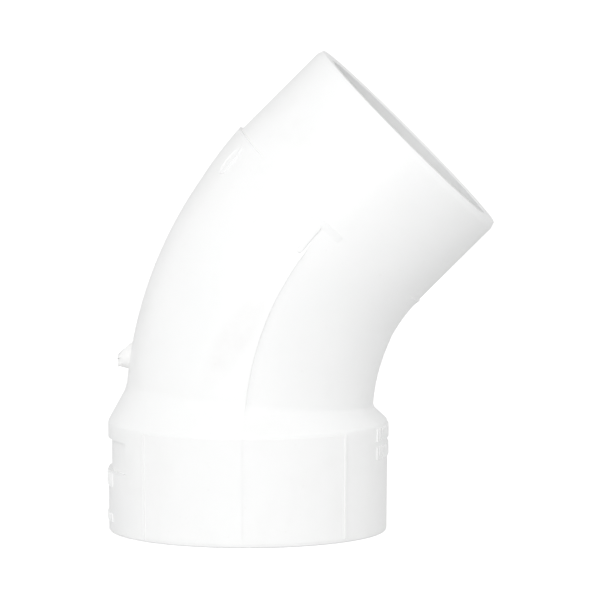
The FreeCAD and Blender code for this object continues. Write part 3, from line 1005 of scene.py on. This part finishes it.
inner_low, inner_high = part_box("mark_row_inner_lower")[0].z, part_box("mark_row_inner_upper")[0].z
outer_low, outer_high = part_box("mark_row_outer_lower")[0].z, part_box("mark_row_outer_upper")[0].z
inner_height, low_height, high_height, throat_height = 4.7 * mm, 3 * mm, 4.9 * mm, 3.7 * mm
inner_span, outer_span, throat_span = 46, 36, 52
throat_foot = bend_foot + math.radians(17) * bend_radius - throat_height / 2
make_row("marks_inner_lower", "mark_row_inner_lower", skin_of(inner_low, inner_height), 0, inner_span,
         inner_low, inner_height, 17)
make_row("marks_inner_upper", "mark_row_inner_upper", skin_of(inner_high, inner_height), 0, inner_span,
         inner_high, inner_height, 17)
make_row("marks_outer_lower", "mark_row_outer_lower", skin_of(outer_low, low_height), 180, outer_span,
         outer_low, low_height, 14)
make_row("marks_outer_upper", "mark_row_outer_upper", skin_of(outer_high, high_height), 180, outer_span,
         outer_high, high_height, 14)
make_row("marks_throat", "mark_row_throat", pipe_radius, 0, throat_span, throat_foot, throat_height, 17)

# %% [markdown]
# ## Stage
# A pale floor that curves up behind the fitting, like a roll of paper in a studio. One plane is
# extruded up at its back edge, and a wide bevel makes the curve.

# %% Floor and backdrop
floor_size = 6
wall_height = 4
curve_size = 1.2
back_edge = floor_size / 2 - 0.1


def make_floor():
    clear_selection()
    bpy.ops.mesh.primitive_plane_add(size=floor_size, location=(0, 0, cad_low.z))
    floor = start_piece("paper_floor")
    bpy.ops.object.transform_apply(location=True)
    edit(floor, "EDGE")
    pick(floor, "edges", lambda edge: all(vert.co.y > back_edge for vert in edge.verts))
    bpy.ops.mesh.extrude_edges_move(TRANSFORM_OT_translate={"value": (0, 0, wall_height)})
    edit(floor, "EDGE")
    pick(floor, "edges", lambda edge: all(vert.co.y > back_edge and vert.co.z < 0.1 for vert in edge.verts))
    bpy.ops.mesh.bevel(offset=curve_size, segments=24, affect="EDGES")
    clear_selection()
    floor.select_set(True)
    bpy.context.view_layer.objects.active = floor
    bpy.ops.object.shade_smooth()
    return floor


# %% Paper on it
paper = bpy.data.materials.new("pale_paper")
paper.use_nodes = True
paper_tree = paper.node_tree
paper_shader = paper_tree.nodes["Principled BSDF"]
paper_coords = paper_tree.nodes.new("ShaderNodeTexCoord").outputs["Object"]
fibres = remap(paper_tree, noise(paper_tree, paper_coords, 60, 4), 0.3, 0.7, 0, 1)
paper_colour = colour_between(paper_tree, fibres, (0.65, 0.65, 0.65), (0.68, 0.68, 0.68))
paper_tree.links.new(paper_colour.outputs["Result"], paper_shader.inputs["Base Color"])
paper_shader.inputs["Roughness"].default_value = 0.9
paper_shader.inputs["Specular IOR Level"].default_value = 0.1
paper_shader.inputs["Emission Color"].default_value = (1, 1, 1, 1)
seen = paper_tree.nodes.new("ShaderNodeLightPath").outputs["Is Camera Ray"]
glow = remap(paper_tree, seen, 0, 1, 0.1, 0.6)
paper_tree.links.new(glow, paper_shader.inputs["Emission Strength"])
floor = make_floor()
floor.data.materials.append(paper)
print("floor at", cad_low.z)

# %% [markdown]
# ## Light
# White plastic on white paper needs light that is soft but not equal on all sides, or the shape is
# lost. A bright sky fills everything, and one wide panel in front, above and a little to the left
# gives the outer half of the bend its bright face and leaves the inner half grey. A weak panel on the
# right looks into the spigot's mouth.

# %% Sky and panels
world = bpy.data.worlds.new("studio")
bpy.context.scene.world = world
world.use_nodes = True
sky = world.node_tree
sky.nodes["Background"].inputs["Color"].default_value = (1, 1, 1, 1)
direction = sky.nodes.new("ShaderNodeSeparateXYZ")
sky.links.new(sky.nodes.new("ShaderNodeTexCoord").outputs["Generated"], direction.inputs["Vector"])
strength = remap(sky, direction.outputs["Z"], 0, 1, 1.02, 0.72)
sky.links.new(strength, sky.nodes["Background"].inputs["Strength"])


def make_panel_light(name, place, target, size, power):
    """Area light that looks at a point."""
    clear_selection()
    bpy.ops.object.light_add(type="AREA", location=place)
    light = bpy.context.active_object
    light.name = name
    light.data.shape = "RECTANGLE"
    light.data.size = size[0]
    light.data.size_y = size[1]
    light.data.energy = power
    light.rotation_euler = (Vector(target) - Vector(place)).to_track_quat("-Z", "Y").to_euler()


middle = (cad_low + cad_high) / 2
make_panel_light("key_panel", (-0.45, -2.05, 0.75), middle, (1.4, 1.2), 13.5)
make_panel_light("mouth_fill", (1.5, -0.4, 1.6), middle, (0.8, 0.8), 1.5)
bpy.context.scene.view_settings.view_transform = "Standard"

# %% [markdown]
# ## Camera
# The fitting is seen from nearly straight in front and a little above, with a long lens that keeps
# its sides almost parallel.

# %% Camera
azimuth = math.radians(1.469)
elevation = math.radians(5.545)
distance = 1.8061
aim = Vector((middle.x - 0.1 * mm, 0, middle.z - 3.4 * mm))
clear_selection()
bpy.ops.object.camera_add()
camera = bpy.context.active_object
camera.name = "camera"
camera.location = aim + distance * Vector((math.sin(azimuth) * math.cos(elevation),
                                           -math.cos(azimuth) * math.cos(elevation), math.sin(elevation)))
camera.rotation_euler = (aim - camera.location).to_track_quat("-Z", "Y").to_euler()
camera.data.lens = 298.9
camera.data.sensor_width = 36
bpy.context.scene.camera = camera
print("camera at", tuple(round(value, 4) for value in camera.location))

# %% [markdown]
# ## Finish
# The number of pieces and their faces is printed.

# %% Count the pieces
print("pieces:", len(made), "faces:", sum(len(piece.data.polygons) for piece in made))
